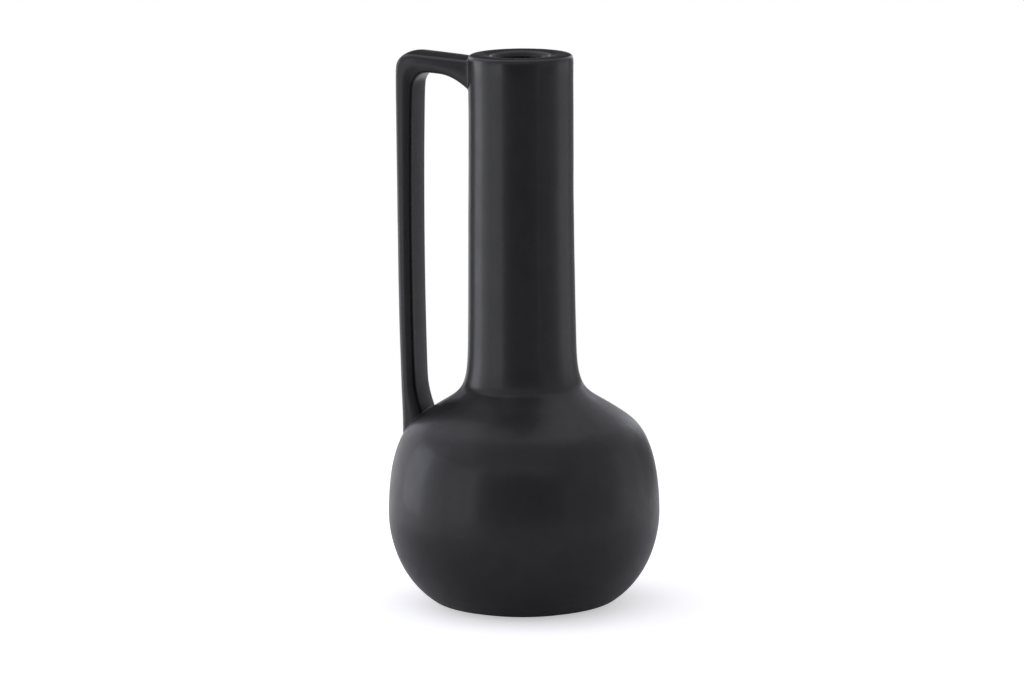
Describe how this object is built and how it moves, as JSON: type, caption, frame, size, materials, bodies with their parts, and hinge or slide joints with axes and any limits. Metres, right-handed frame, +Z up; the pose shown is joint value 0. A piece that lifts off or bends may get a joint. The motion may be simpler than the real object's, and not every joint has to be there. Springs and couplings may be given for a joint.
{
  "type": "stoneware vase",
  "caption": "Bottle vase in satin black stoneware: globe belly, long near-cylindrical neck, thick rolled lip round a small mouth, squared strap handle from lip to shoulder, bare foot ring.",
  "frame": {"origin": "on the vase's vertical axis, at the level that it stands on", "axes": "+Z up along the neck, -X towards the handle, the handle's plane is Y = 0"},
  "size_m": [0.1424, 0.1424, 0.291],
  "materials": {
    "black_glaze": "satin black glaze",
    "bare_stoneware": "bare fired stoneware, wiped clean"
  },
  "bodies": {
    "root": {"belly": "black_glaze", "neck": "black_glaze", "mouth_rim": "black_glaze", "foot_ring": "bare_stoneware", "handle": "black_glaze"}
  },
  "joints": []
}
